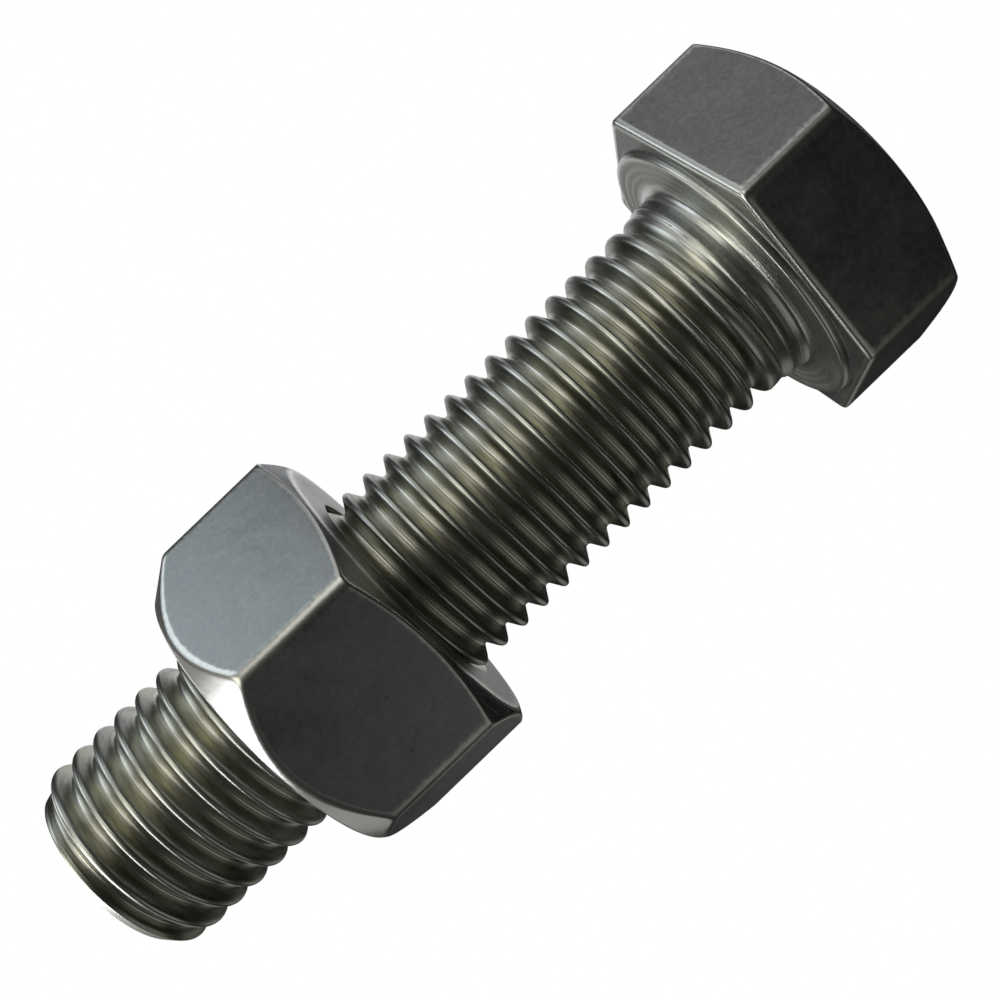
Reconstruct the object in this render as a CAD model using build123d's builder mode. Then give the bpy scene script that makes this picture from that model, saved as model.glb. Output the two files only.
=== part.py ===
from build123d import *
from math import atan2, ceil, cos, degrees, radians, sqrt, tan
import os

os.makedirs("parts", exist_ok=True)

# Hex bolt with a hex nut on it, coarse right-hand thread, in millimetres.
# The axis is Z. The bearing plane under the head is z = 0: the head lies below it and the
# shank stands up from it, so the bolt stands on the top of its head with its point upwards.

# Sizes that drive everything else
thread_size = 20.0        # nominal thread diameter
pitch = 2.5               # coarse pitch
shank_length = 75.0       # from the bearing plane to the point
across_flats = 30.0       # wrench size of head and nut
head_height = 12.2        # washer face included
washer_face_height = 0.8
washer_face_share = 0.94  # diameter of the washer face over the wrench size
nut_height = 16.0
nut_rest = 39.6           # height of the nut's lower face above the bearing plane
neck_length = 2.7         # height at which the groove begins to bite
neck_fillet = 0.8         # under the head
head_edge_round = 0.9     # rounding of the head's six upright edges
nut_edge_round = 1.5      # and of the nut's

# Chamfers of the hexagons: the circle left on the end face over the wrench size, and slope
head_top_chamfer = (0.95, 30.0)
nut_low_chamfer = (0.97, 28.0)
nut_high_chamfer = (0.97, 54.0)

# Thread form, flanks at 30 degrees to the radial plane
flank = radians(30.0)
crest_play = 0.17         # how far the bolt's crests stand inside the nominal diameter
depth_ratio = 0.6134      # depth of the bolt's groove over the pitch
flank_play = 0.16         # gap between the two threads, square to the flanks
nut_root_play = 0.17      # how far the nut's groove goes beyond the nominal diameter
nut_depth_ratio = 0.5413  # depth of the nut's thread over the pitch
runout_turns = 0.75       # the groove deepens over this part of a turn
thread_turn = 90.0        # where the full depth begins, degrees round from +X
point_height = 1.4        # height of the 45 degree cone at the point
mouth_play = 0.3          # how far each mouth of the nut opens beyond the nominal diameter
overcut = 0.1             # how far a cutting tool stands out of the surface it cuts
stretch_turns = 8         # turns of groove cut at a time
small_bevel = 0.25        # edge of the washer face
ring_gap = 0.15           # gap round the ring sealed inside the nut's wall

# Sizes that follow
nominal_radius = thread_size / 2
crest_radius = nominal_radius - crest_play
root_radius = nominal_radius - depth_ratio * pitch
bore_radius = nominal_radius - nut_depth_ratio * pitch
nut_root_radius = nominal_radius + nut_root_play
corner_radius = across_flats / sqrt(3)
washer_face_radius = across_flats * washer_face_share / 2
nut_wall = across_flats / 2 - nut_root_radius
thread_start = neck_length + runout_turns * pitch
neck_top = neck_length - pitch / 5
ring_radius = nut_root_radius + nut_wall / 2
ring_width = nut_wall / 3 - 2 * ring_gap


def groove_width(radius):
    # The bolt's groove at a radius: seven eighths of the pitch at the nominal radius, and
    # narrower further in, along both flanks.
    return pitch * 7 / 8 - 2 * (nominal_radius - radius) * tan(flank)


def ridge_room(radius):
    # The nut's groove at a radius: the bolt's ridge there, and the play on both sides.
    return pitch - groove_width(radius) + 2 * flank_play / cos(flank)


def end_cone(chamfer, face, reach, inwards):
    # Two outline points of one end: on the end face, and out where the cone leaves the block.
    circle = across_flats * chamfer[0] / 2
    drop = (reach - circle) * tan(radians(chamfer[1]))
    return [(circle, face), (reach, face + inwards * drop)]


def hex_block(low, high, low_chamfer, high_chamfer, rounding):
    # A hexagonal block with rounded upright edges, its corners cut off by cones.
    reach = corner_radius + 1.0
    bottom = [(reach, low)]
    top = [(reach, high)]
    if low_chamfer:
        bottom = end_cone(low_chamfer, low, reach, 1)
    if high_chamfer:
        top = end_cone(high_chamfer, high, reach, -1)[::-1]
    with BuildPart() as block:
        with BuildSketch(Plane.XY.offset(low)):
            RegularPolygon(corner_radius, 6)
        extrude(amount=high - low)
        fillet(block.edges().filter_by(Axis.Z), radius=rounding)
        with BuildSketch(Plane.XZ):
            with BuildLine():
                Polyline((0, low), *bottom, *top, (0, high), close=True)
            make_face()
        revolve(axis=Axis.Z, mode=Mode.INTERSECT)
    return block.part


def winding_tool(start, height, radii, widths, spread=0.0, downwards=False):
    # A trapezium carried along a right-hand helix that begins on the +X side at z = start.
    # radii and widths hold its inner and outer ends. A spread opens the helix like a cone.
    way = (0, 0, -1) if downwards else (0, 0, 1)
    lead = pitch / cos(radians(spread))
    with BuildPart() as tool:
        with BuildLine() as path:
            Helix(lead, height, radii[0], center=(0, 0, start), direction=way,
                  cone_angle=spread)
        begin = path.edges()[0] @ 0
        outwards = Vector(begin.X, begin.Y, 0).normalized()
        with BuildSketch(Plane(begin, x_dir=outwards, z_dir=outwards.cross(Vector(0, 0, 1)))):
            with BuildLine():
                Polyline(
                    (0, -widths[0] / 2),
                    (radii[1] - radii[0], -widths[1] / 2),
                    (radii[1] - radii[0], widths[1] / 2),
                    (0, widths[0] / 2),
                    close=True,
                )
            make_face()
        sweep(path=path.wires()[0], is_frenet=True)
    return tool.part.rotate(Axis.Z, thread_turn - degrees(atan2(begin.Y, begin.X)))


def ring_band(width, middle):
    # A ring of square section round the axis, half way between the thread and the flats.
    with BuildPart() as band:
        with BuildSketch(Plane.XZ):
            with Locations((ring_radius, middle)):
                Rectangle(width, width)
        revolve(axis=Axis.Z)
    return band.part


# The bolt: hexagonal head, washer face, neck and threaded shank in one piece.
# The shank is made too long, its groove is cut in stretches of a few turns, and then the
# point is turned down to length.
cut_radius = crest_radius + overcut
bolt_radii = (root_radius, cut_radius)
bolt_widths = (groove_width(root_radius), groove_width(cut_radius))
stretch = stretch_turns * pitch
stretches = ceil((shank_length + pitch - thread_start) / stretch)
long_end = thread_start + stretches * stretch + 2 * pitch
runout_height = runout_turns * pitch
runout_spread = degrees(atan2(cut_radius - root_radius + overcut, runout_height))
with BuildPart() as bolt:
    add(hex_block(-head_height, -washer_face_height, head_top_chamfer, None, head_edge_round))
    with BuildSketch(Plane.XZ):
        with BuildLine():
            Polyline(
                (0, -head_height / 2),
                (washer_face_radius, -head_height / 2),
                (washer_face_radius, -small_bevel),
                (washer_face_radius - small_bevel, 0),
                (nominal_radius + neck_fillet, 0),
            )
            CenterArc((nominal_radius + neck_fillet, neck_fillet), neck_fillet, 180, 90)
            Polyline(
                (nominal_radius, neck_fillet),
                (nominal_radius, neck_top),
                (crest_radius, neck_top + crest_play),
                (crest_radius, long_end),
                (0, long_end),
                (0, -head_height / 2),
            )
        make_face()
    revolve(axis=Axis.Z)
    for step in range(stretches):
        add(winding_tool(thread_start + step * stretch, stretch, bolt_radii, bolt_widths),
            mode=Mode.SUBTRACT)
    add(winding_tool(thread_start, runout_height, bolt_radii, bolt_widths,
                     runout_spread, downwards=True), mode=Mode.SUBTRACT)
    with BuildSketch(Plane.XZ):
        with BuildLine():
            Polyline(
                (0, shank_length),
                (crest_radius - point_height, shank_length),
                (crest_radius + 1, shank_length - point_height - 1),
                (crest_radius + 1, long_end + 1),
                (0, long_end + 1),
                close=True,
            )
        make_face()
    revolve(axis=Axis.Z, mode=Mode.SUBTRACT)
bolt.part.label = "bolt"
export_step(bolt.part, "parts/bolt.step")

# A tap: a grooved cylinder as wide as the bottom of the nut's thread. Its groove leaves the
# nut's ridge standing, which winds along the middle of the bolt's groove.
nut_top = nut_rest + nut_height
nut_middle = nut_rest + nut_height / 2
tap_turns = ceil(nut_height / pitch) + 3
tap_start = thread_start + ((nut_rest - thread_start) // pitch - 1) * pitch
tap_radii = (bore_radius, nut_root_radius + overcut)
tap_widths = (pitch - ridge_room(tap_radii[0]), pitch - ridge_room(tap_radii[1]))
with BuildPart() as tap:
    with Locations((0, 0, tap_start - 2 * pitch)):
        Cylinder(nut_root_radius, (tap_turns + 4) * pitch,
                 align=(Align.CENTER, Align.CENTER, Align.MIN))
    add(winding_tool(tap_start, tap_turns * pitch, tap_radii, tap_widths),
        mode=Mode.SUBTRACT)

# The nut: a hexagon threaded right through, its two mouths opened by cones
mouth_radius = nominal_radius + mouth_play
mouth_reach = nut_height / 4
with BuildPart() as nut:
    add(hex_block(nut_rest, nut_top, nut_low_chamfer, nut_high_chamfer, nut_edge_round))
    add(tap.part, mode=Mode.SUBTRACT)
    for face, inwards in ((nut_rest, 1), (nut_top, -1)):
        with BuildSketch(Plane.XZ):
            with BuildLine():
                Polyline(
                    (0, face - inwards),
                    (mouth_radius + 1, face - inwards),
                    (mouth_radius - mouth_reach, face + inwards * mouth_reach),
                    (0, face + inwards * mouth_reach),
                    close=True,
                )
            make_face()
        revolve(axis=Axis.Z, mode=Mode.SUBTRACT)
    add(ring_band(nut_wall / 3, nut_middle), mode=Mode.SUBTRACT)
nut.part.label = "nut"
export_step(nut.part, "parts/nut.step")

# The ring sealed in the nut's wall: it travels with the nut and does not turn
with BuildPart() as travel_ring:
    add(ring_band(ring_width, nut_middle))
travel_ring.part.label = "travel_ring"
export_step(travel_ring.part, "parts/travel_ring.step")

for piece in (bolt, nut, travel_ring):
    print(piece.part.label, len(piece.solids()), round(piece.part.volume, 3), piece.part.is_valid)
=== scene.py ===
import bmesh
import bpy
import math
import numpy as np
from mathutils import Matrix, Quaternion, Vector


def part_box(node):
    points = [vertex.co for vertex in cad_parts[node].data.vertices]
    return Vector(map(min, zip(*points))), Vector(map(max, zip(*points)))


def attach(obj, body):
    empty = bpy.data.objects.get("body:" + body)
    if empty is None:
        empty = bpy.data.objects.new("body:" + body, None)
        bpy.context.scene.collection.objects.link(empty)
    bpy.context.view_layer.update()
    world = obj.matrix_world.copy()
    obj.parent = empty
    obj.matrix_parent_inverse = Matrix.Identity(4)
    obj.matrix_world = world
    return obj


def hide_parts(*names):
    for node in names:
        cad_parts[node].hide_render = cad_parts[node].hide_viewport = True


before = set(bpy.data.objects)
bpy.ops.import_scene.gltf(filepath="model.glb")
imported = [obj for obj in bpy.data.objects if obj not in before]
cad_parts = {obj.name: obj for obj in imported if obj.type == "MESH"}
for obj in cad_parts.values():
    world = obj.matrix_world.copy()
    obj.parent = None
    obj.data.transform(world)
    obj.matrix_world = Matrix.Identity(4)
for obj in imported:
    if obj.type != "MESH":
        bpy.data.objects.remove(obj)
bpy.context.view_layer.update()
mm = 0.001
scene = bpy.context.scene

# Camera and finished sizes are in millimetres, in the bolt's own frame: the axis is Z and the
# bearing plane under the head is at height zero.

cameraSet = {
    "azimuth": -72.58,            # degrees round the axis from +X
    "distance": 111.37,           # from the axis
    "height": 28.76,              # above the bearing plane
    "aim": (-0.09, -0.256, 28.17),
    "roll": -133.93,              # degrees, so that the head leans up to the right
    "lens": 45.06,
}


def placeCamera(values):
    # on a circle round the axis, looking at the aim point, then rolled about its line of sight
    turn = math.radians(values["azimuth"])
    reach = values["distance"]
    place = Vector((reach * math.cos(turn), reach * math.sin(turn), values["height"])) * mm
    sight = (Vector(values["aim"]) * mm - place).normalized()
    level = sight.to_track_quat("-Z", "Y")
    data = bpy.data.cameras.new("viewCamera")
    data.lens = values["lens"]
    data.sensor_width = 36.0
    data.clip_start = 0.01
    data.clip_end = 20.0
    camera = bpy.data.objects.new("viewCamera", data)
    camera.rotation_mode = "QUATERNION"
    camera.location = place
    camera.rotation_quaternion = level @ Quaternion((0, 0, 1), math.radians(values["roll"]))
    scene.collection.objects.link(camera)
    scene.camera = camera


placeCamera(cameraSet)
print("camera placed")


mergeDistance = 2e-7              # metres
flankRise = math.sqrt(3)          # radius per height along a thread's flank, thirty degrees


def meshFromGrid(name, points, layers):
    # points is (columns, rows, 3), the last column lies on the first, and rows may end in a pole.
    # Points that coincide are merged, which closes the seam, the poles and the clipped ends.
    cols, rows = points.shape[:2]
    mesh = bpy.data.meshes.new(name)
    index = np.arange(cols * rows).reshape(cols, rows)
    quads = np.stack([index[:-1, :-1], index[1:, :-1], index[1:, 1:], index[:-1, 1:]], -1)
    quads = quads.reshape(-1, 4)
    mesh.vertices.add(cols * rows)
    mesh.vertices.foreach_set("co", np.ascontiguousarray(points, np.float32).ravel())
    mesh.loops.add(quads.size)
    mesh.loops.foreach_set("vertex_index", quads.ravel().astype(np.int32))
    mesh.polygons.add(len(quads))
    mesh.polygons.foreach_set("loop_start", np.arange(0, quads.size, 4, dtype=np.int32))
    mesh.update(calc_edges=True)
    for key, values in layers.items():
        layer = mesh.attributes.new(key, "FLOAT", "POINT")
        layer.data.foreach_set("value", np.ascontiguousarray(values, np.float32).ravel())
    work = bmesh.new()
    work.from_mesh(mesh)
    bmesh.ops.remove_doubles(work, verts=work.verts, dist=mergeDistance)
    bmesh.ops.dissolve_degenerate(work, edges=work.edges, dist=mergeDistance / 2)
    bmesh.ops.recalc_face_normals(work, faces=work.faces)
    work.to_mesh(mesh)
    work.free()
    mesh.shade_smooth()
    piece = bpy.data.objects.new(name, mesh)
    scene.collection.objects.link(piece)
    return piece


def softMin(a, b, blend):
    # the smaller of two values, with a hyperbola of that width where they cross
    return (a + b - np.sqrt((a - b) ** 2 + blend ** 2)) / 2


def softMax(a, b, blend):
    # the larger of two values, with a hyperbola of that width where they cross
    return (a + b + np.sqrt((a - b) ** 2 + blend ** 2)) / 2


def turnAngles(values):
    # angles of the columns, crowded at the six corners and even along each side
    near = np.array(values["cornerColumns"])
    side = np.linspace(near[-1], 60 - near[-1], values["columnsPerSide"] + 1)
    sector = np.concatenate([[0], near[:-1], side, 60 - near[:-1][::-1]])
    return np.radians(np.concatenate([sector + 60 * k for k in range(6)] + [[360.0]]))


def hexReach(angle, flats, rounding):
    # distance from the axis to a hexagon whose corners are arcs: within an arc the far root of
    # the ray's meeting with its circle, elsewhere the flat's distance over a cosine
    off = np.abs((angle + math.pi / 6) % (math.pi / 3) - math.pi / 6)
    centre = (flats - rounding) / math.cos(math.pi / 6)
    limit = math.atan2(rounding / 2, centre + rounding * math.cos(math.pi / 6))
    inside = np.clip(rounding ** 2 - (centre * np.sin(off)) ** 2, 0, None)
    onArc = centre * np.cos(off) + np.sqrt(inside)
    return np.where(off < limit, onArc, flats / np.cos(math.pi / 6 - off))


def edgeNearness(angle, width):
    # one on an upright edge, falling to nothing over width degrees
    off = np.degrees(np.abs((angle + math.pi / 6) % (math.pi / 3) - math.pi / 6))
    return np.clip(1 - off / width, 0, 1)


def ringOf(radius, height, like):
    # one row: a radius and a height for every column
    return np.stack([radius + 0 * like, height + 0 * like], -1)


def roundedTurn(before, corner, after, reach, steps):
    # a bend between two straight runs: a parabola that starts and ends at that reach from it
    start = before - corner
    end = after - corner
    start = start / np.linalg.norm(start, axis=-1, keepdims=True) * reach
    end = end / np.linalg.norm(end, axis=-1, keepdims=True) * reach
    return [corner + start * (1 - t) ** 2 + end * t ** 2 for t in np.linspace(0, 1, steps)]


def alongRun(a, b, shares):
    # rows at those shares of the way from one row to another
    return [a + (b - a) * share for share in shares]


def spun(angle, profile):
    # radius and height carried round the axis, in metres
    radius, height = profile[..., 0] * mm, profile[..., 1] * mm
    return np.stack([radius * np.cos(angle)[:, None], radius * np.sin(angle)[:, None], height], -1)


class Turning:
    # rows of an outline in order, each with how worn its edge is and how much painted highlight it
    # carries, whether it is on a flat side of the hexagon and whether it was turned on a lathe
    def __init__(self):
        self.rows, self.worn, self.sides, self.turned = [], [], [], []

    def add(self, rows, worn=0.0, side=0.0, turned=0.0):
        self.rows += rows
        self.worn += [worn] * len(rows)
        self.sides += [side] * len(rows)
        self.turned += [turned] * len(rows)
        return rows

    def layers(self, angle, wearAndHighlightWidth):
        # wear and painted highlight is the larger of the row's own and, on a side, the nearness of
        # an upright edge
        near = edgeNearness(angle, wearAndHighlightWidth)[:, None] * np.array(self.sides)
        wearAndHighlight = np.maximum(near, np.array(self.worn))
        return wearAndHighlight, np.array(self.turned) + 0 * wearAndHighlight


hexShape = {
    "halfFlats": 15.0,            # from the axis to a flat
    "headRound": 0.9,             # rounding of the head's upright edges
    "nutRound": 1.5,              # and of the nut's
    "columnsPerSide": 18,
    "cornerColumns": (0.5, 1.0, 1.51, 2.3, 2.9),  # degrees either side of a corner
    "wearAndHighlightWidth": 4.4,             # degrees either side of a corner that are worn and carry a painted highlight
    "sideShares": (0.03, 0.1, 0.35, 0.65, 0.9, 0.97),  # rows up a side, closer near its edges
}

thread = {
    "pitch": 2.5,
    "startHeight": 4.575,         # of the groove's middle where it reaches its full depth
    "startTurn": 0.25,            # turns round from +X at that place
    "rootRadius": 8.4665,
    "rootWidth": 0.4167,
    "crestRadius": 9.83,
    "runoutSlope": 0.834,         # rise of the groove's bottom per height, below the start
    "rootBlend": 0.12,
    "crestBlend": 0.28,
    "offsets": (0.0, 0.14, 0.25, 0.38, 0.84, 0.98, 1.08, 1.165),  # half of the rows in one pitch
}


def threadHeights(angle, low, high, values):
    # rows that follow the groove: a pattern repeated every pitch and lifted by the pitch each
    # turn, clipped to the two heights
    pitch = values["pitch"]
    half = np.array(values["offsets"])
    pattern = np.concatenate([-half[:0:-1], half, [pitch / 2]])
    base = values["startHeight"] - pitch * values["startTurn"]
    first = math.floor((low - base) / pitch) - 2
    last = math.ceil((high - base) / pitch) + 1
    rows = (np.arange(first, last + 1)[:, None] * pitch + pattern).ravel() + base
    return np.clip(rows[None, :] + pitch * angle[:, None] / (2 * math.pi), low, high)


def grooveMiddle(angle, height, values, shift):
    # height of the groove's middle nearest to each point, on a helix that rises a pitch a turn
    pitch = values["pitch"]
    base = values["startHeight"] - pitch * values["startTurn"] + shift
    climb = angle[:, None] / (2 * math.pi)
    return (np.round((height - base) / pitch - climb) + climb) * pitch + base


def grooveRadius(angle, height, values):
    # the groove's own surface: a flat root, then flanks at thirty degrees to the radius; below
    # the start its bottom rises in proportion to the height still to go
    middle = grooveMiddle(angle, height, values, 0)
    toGo = np.clip(values["startHeight"] - middle, 0, None)
    root = values["rootRadius"] + values["runoutSlope"] * toGo
    flank = root + (np.abs(height - middle) - values["rootWidth"] / 2) * flankRise
    return softMax(root, flank, values["rootBlend"])


boltShape = {
    "headTop": -12.2,             # far end of the head
    "underHead": -0.8,
    "topCircle": 14.25,           # flat left on the far end, inside its chamfer
    "topSlope": 30.0,
    "washerRadius": 14.1,
    "neckRadius": 10.0,
    "neckGroove": ((10.0, 1.0), (9.86, 1.2), (9.86, 1.4), (10.0, 1.62)),  # turned line
    "neckTop": 2.2,
    "length": 75.0,
    "pointHeight": 1.4,
    "pointBlend": 0.05,
    "rings": ((13.1, 12.7, 0.05), (12.2, 11.9, 0.04), (11.5, 11.3, 0.03)),  # on the washer face
    "bends": {                    # how far each bend reaches, and its rows
        "rim": (0.2, 4),          # far end to chamfer
        "chamfer": (0.2, 5),      # chamfer to sides
        "lower": (0.5, 6),        # sides to underside
        "foot": (0.25, 4),        # underside to the washer face's rim
        "lip": (0.35, 5),         # that rim to the washer face
        "fillet": (0.8, 7),       # washer face to neck
    },
    "runs": {                     # rows along straight runs, as shares of the way
        "chamfer": (0.1, 0.5, 0.9),
        "underside": (0.2, 0.8),
    },
    "endRadii": (0, 3, 6, 9, 12, 13.6),
    "pointShares": (0.97, 0.6, 0.3, 0),
    "lastNeckRow": 0.2,           # below the neck's top
}


def boltEnvelope(height, values, groove):
    # the shank before its groove is cut: neck, crest and the cone at the point
    drop = values["neckRadius"] - groove["crestRadius"]
    step = values["neckRadius"] - np.clip(height - values["neckTop"], 0, drop)
    cone = groove["crestRadius"] - (height - values["length"] + values["pointHeight"])
    return softMin(step, cone, values["pointBlend"])


def makeBolt(values, hexagon, groove):
    # one outline from the middle of the head's far end to the middle of the point, spun round
    # the axis, with the hexagon's reach in its middle part and the helix in its last
    angle = turnAngles(hexagon)
    flat = angle * 0
    reach = hexReach(angle, hexagon["halfFlats"], hexagon["headRound"])
    top, under = values["headTop"], values["underHead"]
    slope = math.tan(math.radians(values["topSlope"]))
    endCircle = ringOf(values["topCircle"], top, flat)
    cutEdge = np.stack([reach, top + (reach - values["topCircle"]) * slope], -1)
    lowEdge = np.stack([reach, under + flat], -1)
    foot = ringOf(values["washerRadius"], under, flat)
    lip = ringOf(values["washerRadius"], 0, flat)
    neckFoot = ringOf(values["neckRadius"], 0, flat)
    neckHigh = ringOf(values["neckRadius"], values["neckTop"], flat)
    bends, runs = values["bends"], values["runs"]
    turning = Turning()
    farEnd = turning.add([ringOf(radius, top, flat) for radius in values["endRadii"]])
    rim = turning.add(roundedTurn(farEnd[-1], endCircle, cutEdge, *bends["rim"]), worn=0.6)
    chamferBend = roundedTurn(endCircle, cutEdge, lowEdge, *bends["chamfer"])
    turning.add(alongRun(rim[-1], chamferBend[0], runs["chamfer"]))
    turning.add(chamferBend, worn=0.7, side=1)
    lowBend = roundedTurn(cutEdge, lowEdge, foot, *bends["lower"])
    turning.add(alongRun(chamferBend[-1], lowBend[0], hexagon["sideShares"]), side=1)
    turning.add(lowBend, worn=1.0, side=1)
    footBend = roundedTurn(lowEdge, foot, lip, *bends["foot"])
    turning.add(alongRun(lowBend[-1], footBend[0], runs["underside"]))
    turning.add(footBend)
    turning.add(roundedTurn(foot, lip, neckFoot, *bends["lip"]), worn=0.8, turned=1)
    for outer, inner, depth in values["rings"]:
        middle = (outer + inner) / 2
        ends = ((outer, 0), (middle, -depth), (inner, 0))
        turning.add([ringOf(radius, height, flat) for radius, height in ends], turned=1)
    # the fillet is tagged worn and turned, so it is lightened as a painted highlight
    turning.add(roundedTurn(lip, neckFoot, neckHigh, *bends["fillet"]), worn=0.95, turned=1)
    turning.add([ringOf(radius, height, flat) for radius, height in values["neckGroove"]])
    # the neck's last row is lightened as a painted highlight, as bright as the crests
    turning.add([neckHigh - [0, values["lastNeckRow"]]], worn=0.9)
    lowerRows = len(turning.rows)
    height = threadHeights(angle, values["neckTop"], values["length"], groove)
    envelope = boltEnvelope(height, values, groove)
    radius = softMin(envelope, grooveRadius(angle, height, groove), groove["crestBlend"])
    turning.add(list(np.stack([radius, height], -1).transpose(1, 0, 2)))
    threadEnd = len(turning.rows)
    endRadius = groove["crestRadius"] - values["pointHeight"]
    for share in values["pointShares"]:
        turning.add([ringOf(endRadius * share, values["length"], flat)])
    wearAndHighlight, turned = turning.layers(angle, hexagon["wearAndHighlightWidth"])
    depth, onThread = 0 * wearAndHighlight, 0 * wearAndHighlight
    full = groove["crestRadius"] - groove["rootRadius"]
    depth[:, lowerRows:threadEnd] = np.clip((envelope - radius) / full, 0, 1)
    onThread[:, lowerRows:threadEnd] = 1
    layers = {"grooveDepth": depth, "threadArea": onThread, "edgeWearAndHighlight": wearAndHighlight, "turnedArea": turned}
    piece = meshFromGrid("boltSteelBody", spun(angle, np.stack(turning.rows, 1)), layers)
    print("bolt", len(piece.data.polygons), "faces")
    return piece


nutShape = {
    "low": 39.6,
    "high": 55.6,
    "circle": 14.55,              # flat left on both ends, inside the chamfers
    "lowSlope": 28.0,
    "highSlope": 54.0,
    "mouthRadius": 10.2,
    "boreRadius": 8.6467,
    "rootRadius": 10.17,
    "rootWidth": 0.4857,
    "offsets": (0.0, 0.17, 0.29, 0.6, 0.95, 1.06, 1.13),  # half of the rows in one pitch
    "rootBlend": 0.08,
    "crestBlend": 0.05,
    "mouthBlend": 0.04,
    "bends": {                    # how far each bend reaches, and its rows
        "lowRim": (0.22, 4),      # low end to its chamfer
        "lowSide": (0.2, 5),      # that chamfer to the sides
        "highSide": (0.4, 6),     # and the same at the high end
        "highRim": (0.25, 5),
    },
    "runs": {                     # rows along straight runs, as shares of the way
        "lowEnd": (0, 0.04, 0.35, 0.65),
        "lowChamfer": (0.15, 0.85),
        "highChamfer": (0.12, 0.5, 0.88),
        "highEnd": (0.35, 0.65, 0.96, 1.0),
    },
}


def nutInnerRadius(angle, height, values, groove):
    # the wider of the bore with its two mouth cones, and the groove round the bolt's ridge
    middle = grooveMiddle(angle, height, groove, groove["pitch"] / 2)
    off = np.abs(height - middle)
    flank = values["rootRadius"] - (off - values["rootWidth"] / 2) * flankRise
    cut = softMin(values["rootRadius"], flank, values["rootBlend"])
    mouth = values["mouthRadius"] - np.minimum(height - values["low"], values["high"] - height)
    bore = softMax(values["boreRadius"], mouth, values["mouthBlend"])
    inner = np.minimum(softMax(bore, cut, values["crestBlend"]), values["mouthRadius"])
    atEnds = (height <= values["low"]) | (height >= values["high"])
    return np.where(atEnds, values["mouthRadius"], inner)


def makeNut(values, hexagon, groove):
    # one closed outline: low end, low chamfer, side, high chamfer, high end, and back down the
    # threaded bore
    angle = turnAngles(hexagon)
    flat = angle * 0
    reach = hexReach(angle, hexagon["halfFlats"], hexagon["nutRound"])
    beyond = reach - values["circle"]
    lowDrop = beyond * math.tan(math.radians(values["lowSlope"]))
    highDrop = beyond * math.tan(math.radians(values["highSlope"]))
    lowCut = np.stack([reach, values["low"] + lowDrop], -1)
    highCut = np.stack([reach, values["high"] - highDrop], -1)
    lowCircle = ringOf(values["circle"], values["low"], flat)
    highCircle = ringOf(values["circle"], values["high"], flat)
    lowMouth = ringOf(values["mouthRadius"], values["low"], flat)
    highMouth = ringOf(values["mouthRadius"], values["high"], flat)
    bends, runs = values["bends"], values["runs"]
    turning = Turning()
    turning.add(alongRun(lowMouth, lowCircle, runs["lowEnd"]), turned=1)
    lowRim = turning.add(roundedTurn(lowMouth, lowCircle, lowCut, *bends["lowRim"]), worn=0.6)
    lowSide = roundedTurn(lowCircle, lowCut, highCut, *bends["lowSide"])
    turning.add(alongRun(lowRim[-1], lowSide[0], runs["lowChamfer"]), turned=1)
    turning.add(lowSide, worn=0.8, side=1)
    highSide = roundedTurn(lowCut, highCut, highCircle, *bends["highSide"])
    turning.add(alongRun(lowSide[-1], highSide[0], hexagon["sideShares"]), side=1)
    turning.add(highSide, worn=0.8, side=1)
    highRim = roundedTurn(highCut, highCircle, highMouth, *bends["highRim"])
    turning.add(alongRun(highSide[-1], highRim[0], runs["highChamfer"]), worn=1.0)
    turning.add(highRim, worn=0.5)
    turning.add(alongRun(highCircle, highMouth, runs["highEnd"]), turned=1)
    outerRows = len(turning.rows)
    inside = dict(groove, offsets=values["offsets"])
    inside["startHeight"] += groove["pitch"] / 2
    height = threadHeights(angle, values["low"], values["high"], inside)[:, ::-1]
    radius = nutInnerRadius(angle, height, values, groove)
    turning.add(list(np.stack([radius, height], -1).transpose(1, 0, 2)))
    wearAndHighlight, turned = turning.layers(angle, hexagon["wearAndHighlightWidth"])
    depth, onThread = 0 * wearAndHighlight, 0 * wearAndHighlight
    full = values["rootRadius"] - values["boreRadius"]
    depth[:, outerRows:] = np.clip((radius - values["boreRadius"]) / full, 0, 1)
    onThread[:, outerRows:] = 1
    layers = {"grooveDepth": depth, "threadArea": onThread, "edgeWearAndHighlight": wearAndHighlight, "turnedArea": turned}
    piece = meshFromGrid("nutSteelBody", spun(angle, np.stack(turning.rows, 1)), layers)
    print("nut", len(piece.data.polygons), "faces")
    return piece


boltPiece = makeBolt(boltShape, hexShape, thread)
nutPiece = makeNut(nutShape, hexShape, thread)
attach(boltPiece, "bolt")
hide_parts("bolt")
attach(nutPiece, "nut")
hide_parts("nut")
print("pieces ride on their bodies")


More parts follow.
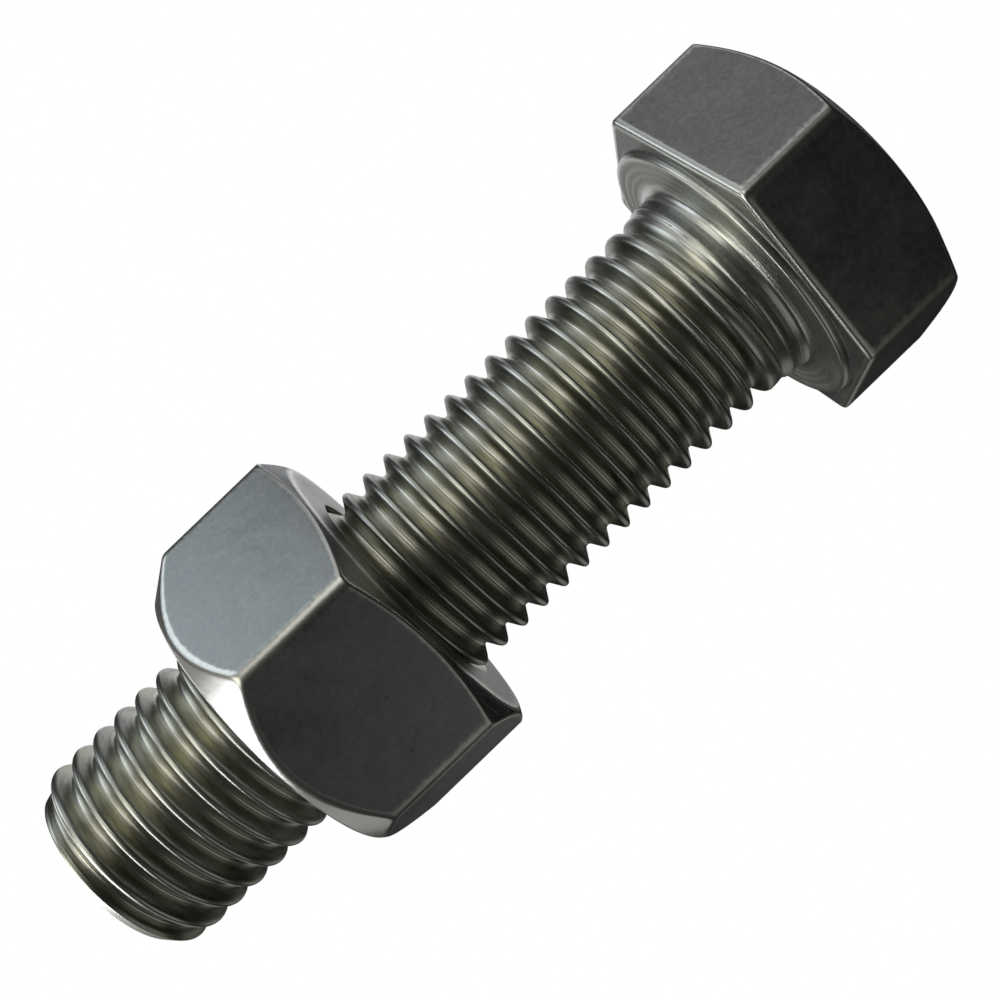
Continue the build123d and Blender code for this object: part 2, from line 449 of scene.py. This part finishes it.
class NodeBench:
    # one material's node tree, with short calls for the nodes that these finishes need
    def __init__(self, name):
        self.material = bpy.data.materials.new(name)
        self.material.use_nodes = True
        self.tree = self.material.node_tree
        self.shader = self.tree.nodes["Principled BSDF"]
        self.place = self.tree.nodes.new("ShaderNodeTexCoord").outputs["Object"]

    def feed(self, socket, value):
        # a link when the value is another node's output, otherwise a fixed value
        if isinstance(value, bpy.types.NodeSocket):
            self.tree.links.new(value, socket)
        else:
            socket.default_value = value

    def math(self, operation, first, second=0.0, third=0.0):
        node = self.tree.nodes.new("ShaderNodeMath")
        node.operation = operation
        for socket, value in zip(node.inputs, (first, second, third)):
            self.feed(socket, value)
        return node.outputs[0]

    def noise(self, size, detail, roughness, stretch=(1, 1, 1), shift=(0, 0, 0)):
        # clouds whose features are about that many metres across
        mapping = self.tree.nodes.new("ShaderNodeMapping")
        self.feed(mapping.inputs["Vector"], self.place)
        mapping.inputs["Scale"].default_value = stretch
        mapping.inputs["Location"].default_value = shift
        node = self.tree.nodes.new("ShaderNodeTexNoise")
        self.feed(node.inputs["Vector"], mapping.outputs[0])
        node.inputs["Scale"].default_value = 1 / size
        node.inputs["Detail"].default_value = detail
        node.inputs["Roughness"].default_value = roughness
        return node.outputs[0]

    def attribute(self, name):
        node = self.tree.nodes.new("ShaderNodeAttribute")
        node.attribute_name = name
        return node.outputs["Fac"]

    def spread(self, value, low, high, outLow, outHigh):
        # carries a range to another, eased at both ends and held beyond them
        node = self.tree.nodes.new("ShaderNodeMapRange")
        node.interpolation_type = "SMOOTHSTEP"
        for key, number in zip(("Value", "From Min", "From Max", "To Min", "To Max"),
                               (value, low, high, outLow, outHigh)):
            self.feed(node.inputs[key], number)
        return node.outputs[0]

    def mixColor(self, share, first, second):
        node = self.tree.nodes.new("ShaderNodeMix")
        node.data_type = "RGBA"
        for key, value in (("Factor_Float", share), ("A_Color", first), ("B_Color", second)):
            socket = next(s for s in node.inputs if s.identifier == key)
            self.feed(socket, (*value, 1) if isinstance(value, tuple) else value)
        return next(s for s in node.outputs if s.identifier == "Result_Color")

    def bump(self, height, strength, depth, after=None):
        node = self.tree.nodes.new("ShaderNodeBump")
        self.feed(node.inputs["Height"], height)
        node.inputs["Strength"].default_value = strength
        node.inputs["Distance"].default_value = depth
        if after:
            self.feed(node.inputs["Normal"], after)
        return node.outputs[0]

    def ringNoise(self, scale, detail):
        # fine rings round the axis: noise of the distance from it alone
        parts = self.tree.nodes.new("ShaderNodeSeparateXYZ")
        self.feed(parts.inputs[0], self.place)
        square = self.math("ADD", self.math("MULTIPLY", parts.outputs[0], parts.outputs[0]),
                           self.math("MULTIPLY", parts.outputs[1], parts.outputs[1]))
        node = self.tree.nodes.new("ShaderNodeTexNoise")
        node.noise_dimensions = "1D"
        self.feed(node.inputs["W"], self.math("SQRT", square))
        node.inputs["Scale"].default_value = scale
        node.inputs["Detail"].default_value = detail
        return node.outputs[0]


steelLook = {
    "bolt": {
        "bright": (0.33, 0.335, 0.32),      # clean metal on the faces
        "dull": (0.25, 0.255, 0.245),       # clouded patches
        "worn": (0.86, 0.86, 0.81),         # rubbed edges and crests, partly a painted highlight
        "flank": (0.58, 0.58, 0.53),        # rolled sides of the thread
        "oil": (0.52, 0.52, 0.41),          # film on them
        "rolled": (0.20, 0.20, 0.16),       # rolling marks round the thread
        "root": (0.88, 0.87, 0.79),         # bottom of the groove, lightened as painted light
        "faced": (0.50, 0.50, 0.47),        # turned on a lathe; on the bolt lightened as painted light on the fillet and washer face
        "pitDark": (0.09, 0.085, 0.075),
        "rough": 0.36,
        "roughPlay": 0.10,
        "wornRough": 0.32,
        "shift": (0.0, 0.0, 0.0),
    },
    "nut": {
        "bright": (0.40, 0.42, 0.425),
        "dull": (0.33, 0.35, 0.355),
        # rubbed edges and crests, partly a painted highlight
        "worn": (0.86, 0.85, 0.81),
        "flank": (0.45, 0.45, 0.43),
        "oil": (0.40, 0.39, 0.33),
        "rolled": (0.22, 0.22, 0.20),
        # painted shade: the bottom of the groove darkened
        "root": (0.30, 0.29, 0.25),
        "faced": (0.24, 0.24, 0.235),
        "pitDark": (0.10, 0.10, 0.095),
        "rough": 0.34,
        "roughPlay": 0.10,
        "wornRough": 0.32,
        "shift": (0.031, 0.017, 0.0),
    },
}


steelPattern = {                            # sizes in metres
    "cloud": {"size": 0.0045, "detail": 4.0, "roughness": 0.55},
    "grain": {"size": 0.00045, "detail": 3.0, "roughness": 0.55},
    "streak": {"size": 0.0006, "detail": 3.0, "roughness": 0.5, "stretch": (1, 1, 0.12)},
    "rolling": {"size": 0.0003, "detail": 2.0, "roughness": 0.5, "stretch": (0.08, 0.08, 1)},
    "speck": {"size": 0.0011, "detail": 2.0, "roughness": 0.5, "shift": (0.05, 0.02, 0.01)},
    "rings": {"scale": 4500.0, "detail": 2.0},
}

steelMask = {                               # a range, and the shares that it becomes
    "bright": (0.35, 0.68, 0.0, 1.0),
    "grain": (0.3, 0.75, 0.0, 0.16),
    "streak": (0.35, 0.7, 0.0, 0.22),
    "pits": (0.72, 0.8, 0.0, 0.5),
    "cleanFlank": (0.3, 0.7, 0.0, 1.0),
    "rolled": (0.45, 0.62, 0.0, 0.5),
    "root": (0.72, 0.98, 0.0, 1.0),
    "rubbedAndHighlight": (0.6, 1.1, 0.0, 1.0),
    "crest": (0.04, 0.2, 1.0, 0.0),
    "crestPatch": (0.3, 0.6, 0.6, 0.9),
    "fray": 0.5,                            # how far the grain frays a rubbed edge
    "threadSmooth": 0.07,                   # roughness that rolling took off the thread
    "threadCalm": 0.8,                      # and the share of the relief
}

steelRelief = {                             # strength, and height in metres
    "cloud": (0.5, 0.00012),
    "grain": (0.3, 0.00002),
    "rings": (0.5, 0.00005),
}


def makeSteel(name, values, pattern, mask, relief):
    # bare steel: soft clouds and fine grain in colour, roughness and relief; lighter rubbed
    # edges and crests, partly a painted highlight; rings on turned areas; an oil film and rolling
    # marks on the thread; painted light in the bolt's groove bottom, painted shade in the nut's
    bench = NodeBench(name)
    shift = values["shift"]
    cloud = bench.noise(**pattern["cloud"], shift=shift)
    grain = bench.noise(**pattern["grain"], shift=shift)
    streak = bench.noise(**pattern["streak"], shift=shift)
    rolling = bench.noise(**pattern["rolling"], shift=shift)
    speck = bench.noise(**pattern["speck"])
    rings = bench.ringNoise(**pattern["rings"])
    edge = bench.attribute("edgeWearAndHighlight")
    threadArea = bench.attribute("threadArea")
    depth = bench.attribute("grooveDepth")
    turned = bench.attribute("turnedArea")

    face = bench.mixColor(bench.spread(cloud, *mask["bright"]), values["dull"], values["bright"])
    face = bench.mixColor(bench.spread(grain, *mask["grain"]), face, values["worn"])
    face = bench.mixColor(bench.spread(streak, *mask["streak"]), face, values["dull"])
    face = bench.mixColor(bench.spread(speck, *mask["pits"]), face, values["pitDark"])
    face = bench.mixColor(turned, face, values["faced"])
    film = bench.mixColor(bench.spread(cloud, *mask["cleanFlank"]), values["oil"], values["flank"])
    film = bench.mixColor(bench.spread(rolling, *mask["rolled"]), film, values["rolled"])
    # painted light in the bolt's groove bottom and painted shade in the nut's, by groove depth
    film = bench.mixColor(bench.spread(depth, *mask["root"]), film, values["root"])
    body = bench.mixColor(threadArea, face, film)

    # the worn colour on rubbed edges, crests, the fillet and the neck: wear, and partly a painted
    # highlight
    frayed = bench.math("MULTIPLY_ADD", grain, mask["fray"], edge)
    rubbedAndHighlight = bench.spread(frayed, *mask["rubbedAndHighlight"])
    crest = bench.math("MULTIPLY", threadArea, bench.spread(depth, *mask["crest"]))
    crest = bench.math("MULTIPLY", crest, bench.spread(cloud, *mask["crestPatch"]))
    shiny = bench.math("MAXIMUM", rubbedAndHighlight, crest)
    bench.feed(bench.shader.inputs["Base Color"], bench.mixColor(shiny, body, values["worn"]))

    play = values["roughPlay"]
    rough = bench.math("MULTIPLY_ADD", cloud, play * 2, values["rough"] - play)
    rough = bench.math("MULTIPLY_ADD", grain, play, rough)
    rough = bench.math("MULTIPLY_ADD", threadArea, -mask["threadSmooth"], rough)
    unworn = bench.math("MULTIPLY", rough, bench.math("SUBTRACT", 1.0, shiny))
    rough = bench.math("MULTIPLY_ADD", shiny, values["wornRough"], unworn)
    bench.feed(bench.shader.inputs["Roughness"], rough)
    bench.shader.inputs["Metallic"].default_value = 1.0

    calm = bench.math("MULTIPLY_ADD", threadArea, -mask["threadCalm"], 1.0)
    normal = bench.bump(bench.math("MULTIPLY", cloud, calm), *relief["cloud"])
    normal = bench.bump(bench.math("MULTIPLY", grain, calm), *relief["grain"], normal)
    normal = bench.bump(bench.math("MULTIPLY", rings, turned), *relief["rings"], normal)
    bench.feed(bench.shader.inputs["Normal"], normal)
    return bench.material


steelParts = (steelPattern, steelMask, steelRelief)
boltSteel = makeSteel("boltSteel", steelLook["bolt"], *steelParts)
nutSteel = makeSteel("nutSteel", steelLook["nut"], *steelParts)
boltPiece.data.materials.append(boltSteel)
nutPiece.data.materials.append(nutSteel)
for nodeName, finish in (("bolt", boltSteel), ("nut", nutSteel), ("travel_ring", nutSteel)):
    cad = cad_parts[nodeName]
    cad.data.materials.clear()
    cad.data.materials.append(finish)
print("steel finishes made")

stageSet = {
    "floorRadius": 1.5,
    "floorSides": 96,
    "domeRadius": 2.0,
    "domeSides": 64,
    "domeRows": 32,
    "white": (1.0, 1.0, 1.0),
    "room": (0.01, 0.01, 0.01),   # what the steel sees where no light is
}


def stageMaterial(name, color, strength):
    material = bpy.data.materials.new(name)
    material.use_nodes = True
    tree = material.node_tree
    tree.nodes.clear()
    glow = tree.nodes.new("ShaderNodeEmission")
    glow.inputs["Color"].default_value = (*color, 1)
    glow.inputs["Strength"].default_value = strength
    out = tree.nodes.new("ShaderNodeOutputMaterial")
    tree.links.new(glow.outputs[0], out.inputs["Surface"])
    return material


def makeStage(values):
    # a round floor under the head and a dome over it: a circle, and a sphere by two angles
    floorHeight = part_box("bolt")[0].z
    sides = values["floorSides"]
    turn = np.linspace(0, 2 * math.pi, sides + 1)[:-1]
    ring = np.stack([np.cos(turn), np.sin(turn), 0 * turn], -1) * values["floorRadius"]
    floorMesh = bpy.data.meshes.new("paleFloor")
    floorMesh.from_pydata((ring + [0, 0, floorHeight]).tolist(), [], [list(range(sides))])
    floorPiece = bpy.data.objects.new("paleFloor", floorMesh)
    scene.collection.objects.link(floorPiece)
    around = np.linspace(0, 2 * math.pi, values["domeSides"] + 1)
    rise = np.linspace(-math.pi / 2, math.pi / 2, values["domeRows"] + 1)
    u, v = np.meshgrid(around, rise, indexing="ij")
    dome = np.stack([np.cos(u) * np.cos(v), np.sin(u) * np.cos(v), np.sin(v)], -1)
    domePiece = meshFromGrid("paleBackdrop", dome * values["domeRadius"], {})
    white = stageMaterial("paleStage", values["white"], 1.0)
    for piece in (floorPiece, domePiece):
        piece.data.materials.append(white)
        piece.visible_glossy = False
        piece.visible_diffuse = False
        piece.visible_shadow = False
    world = bpy.data.worlds.new("studioRoom")
    scene.world = world
    world.use_nodes = True
    world.node_tree.nodes["Background"].inputs["Color"].default_value = (*values["room"], 1)


makeStage(stageSet)

softBoxes = {
    "aim": (0.0, 0.0, 0.03),
    "distance": 0.5,
    "size": 0.3,
    "boxes": {                    # degrees round from +X, degrees above level, watts, tint
        "keyHigh": (15, 25, 0.26, (0.90, 1.0, 1.07)),
        "keyMiddle": (0, 0, 0.08, (1.0, 0.98, 0.94)),
        "keyLow": (15, -25, 0.11, (0.95, 1.0, 1.03)),
        "frontHigh": (325, 45, 0.36, (1.0, 1.0, 0.86)),
        "frontMiddle": (330, 0, 0.22, (1.0, 1.0, 0.91)),
        "tipBox": (0, 90, 0.95, (0.97, 0.98, 1.0)),
        "backHigh": (90, 55, 0.38, (1.0, 1.0, 0.96)),
        "backMiddle": (90, 0, 0.15, (0.95, 0.97, 1.0)),
        "backLow": (105, -25, 0.20, (1.0, 1.0, 0.97)),
        "backSide": (75, -25, 0.10, (0.88, 0.92, 1.0)),
        "rimHigh": (150, 50, 0.07, (1.0, 1.0, 0.96)),
        "rimMiddle": (150, 0, 0.04, (1.0, 1.0, 0.94)),
        "farHigh": (210, 0, 0.045, (0.97, 1.0, 0.94)),
        "farLow": (240, 0, 0.04, (1.0, 0.98, 0.94)),
    },
}


def addSoftBox(name, azimuth, elevation, power, tint, values):
    # a round soft box on a sphere round the middle of the shank, facing it
    turn, rise = math.radians(azimuth), math.radians(elevation)
    way = (math.cos(turn) * math.cos(rise), math.sin(turn) * math.cos(rise), math.sin(rise))
    aim = Vector(values["aim"])
    place = aim + Vector(way) * values["distance"]
    data = bpy.data.lights.new(name, "AREA")
    data.shape = "DISK"
    data.size = values["size"]
    data.energy = power
    data.color = tint
    lamp = bpy.data.objects.new(name, data)
    lamp.location = place
    lamp.rotation_mode = "QUATERNION"
    lamp.rotation_quaternion = (aim - place).to_track_quat("-Z", "Y")
    scene.collection.objects.link(lamp)


for boxName, boxValues in softBoxes["boxes"].items():
    addSoftBox(boxName, *boxValues, softBoxes)
scene.view_settings.view_transform = "Standard"
print("stage and lights set")
